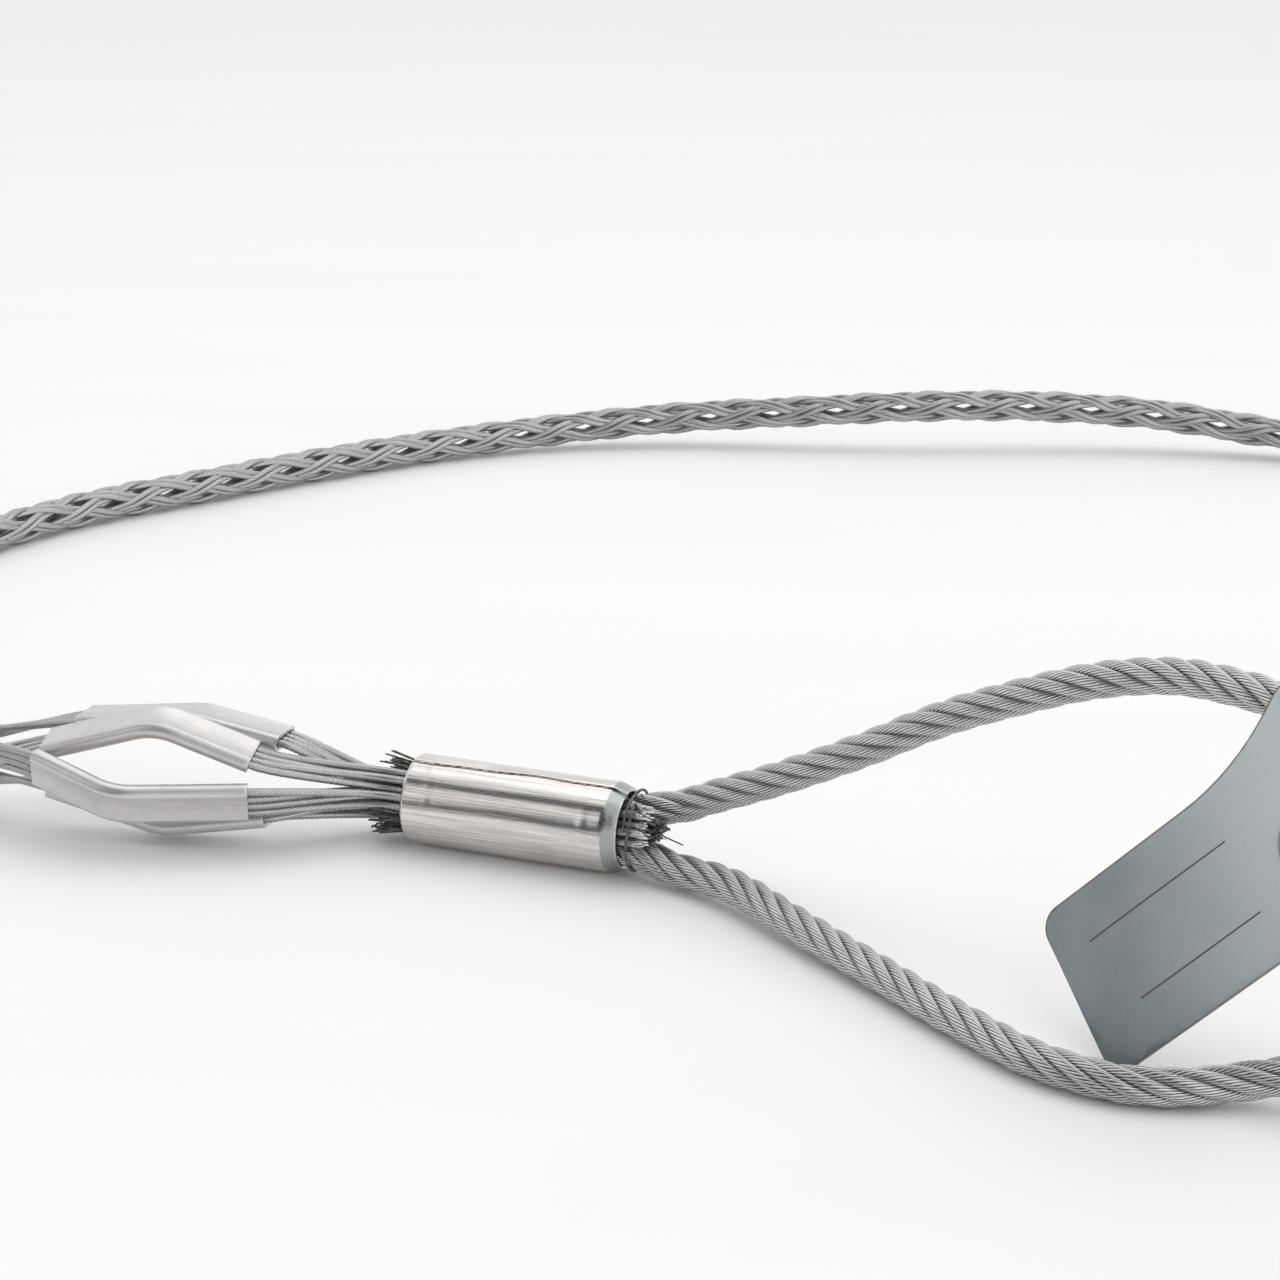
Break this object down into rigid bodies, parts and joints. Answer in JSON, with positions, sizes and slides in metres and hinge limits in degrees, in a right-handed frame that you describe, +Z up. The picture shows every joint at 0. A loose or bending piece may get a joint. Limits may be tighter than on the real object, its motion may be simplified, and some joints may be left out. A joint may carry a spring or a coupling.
{
  "type": "wire mesh pulling grip",
  "caption": "Woven wire pulling grip with a flexible rope eye crimped in a steel ferrule, strand sleeves, an open mesh tube for a cable and a hung tag.",
  "frame": {"origin": "inside of the eye's far bend, where a hook or shackle bears on the rope", "axes": "+Z up from the surface it lies on; +X from the ferrule towards the eye as laid down, with the mesh looped behind on +Y"},
  "size_m": [0.4221, 0.3986, 0.0637],
  "materials": {
    "ferrule": "bright swaged steel, brushed along its length",
    "rope": "galvanised wire rope, dull grey",
    "binding_wire": "dull soft wire",
    "sleeve": "satin",
    "mesh_wire": "galvanised strand, light grey",
    "tag": "satin, cool blue-grey"
  },
  "bodies": {
    "grip": {"ferrule": "ferrule", "rope_leg_upper": "rope", "rope_leg_lower": "rope", "binding_wire": "binding_wire", "sleeve_top_back": "sleeve", "sleeve_top_front": "sleeve", "sleeve_front": "sleeve", "sleeve_bottom": "sleeve", "strand_1": "mesh_wire", "strand_2": "mesh_wire", "strand_3": "mesh_wire", "strand_4": "mesh_wire", "strand_5": "mesh_wire", "strand_6": "mesh_wire", "strand_7": "mesh_wire", "strand_8": "mesh_wire", "strand_9": "mesh_wire", "strand_10": "mesh_wire", "strand_11": "mesh_wire", "strand_12": "mesh_wire", "strand_13": "mesh_wire", "strand_14": "mesh_wire", "strand_15": "mesh_wire", "strand_16": "mesh_wire", "mesh_near": "mesh_wire"},
    "eye": {"eye_rope": "rope"},
    "tag": {"tag": "tag"},
    "mesh": {"mesh_far": "mesh_wire", "mesh_mouth": "mesh_wire"}
  },
  "joints": [
    {"name": "eye_flex", "type": "hinge", "parent": "grip", "child": "eye", "pos_m": [-0.1117, 0.09197, -0.02303], "axis": [0.2056, 0.5355, 0.8192], "range_deg": [-15, 45], "stiffness_Nm_per_rad": 2},
    {"name": "tag_swing", "type": "hinge", "parent": "eye", "child": "tag", "pos_m": [-0.01354, 0.02305, 0.02607], "axis": [-0.5946, 0.7805, 0.1933], "range_deg": [0, 340]},
    {"name": "mesh_flex", "type": "hinge", "parent": "grip", "child": "mesh", "pos_m": [-0.30904, 0.21555, -0.02708], "axis": [0, 0, 1], "range_deg": [-25, 30], "stiffness_Nm_per_rad": 0.6}
  ]
}
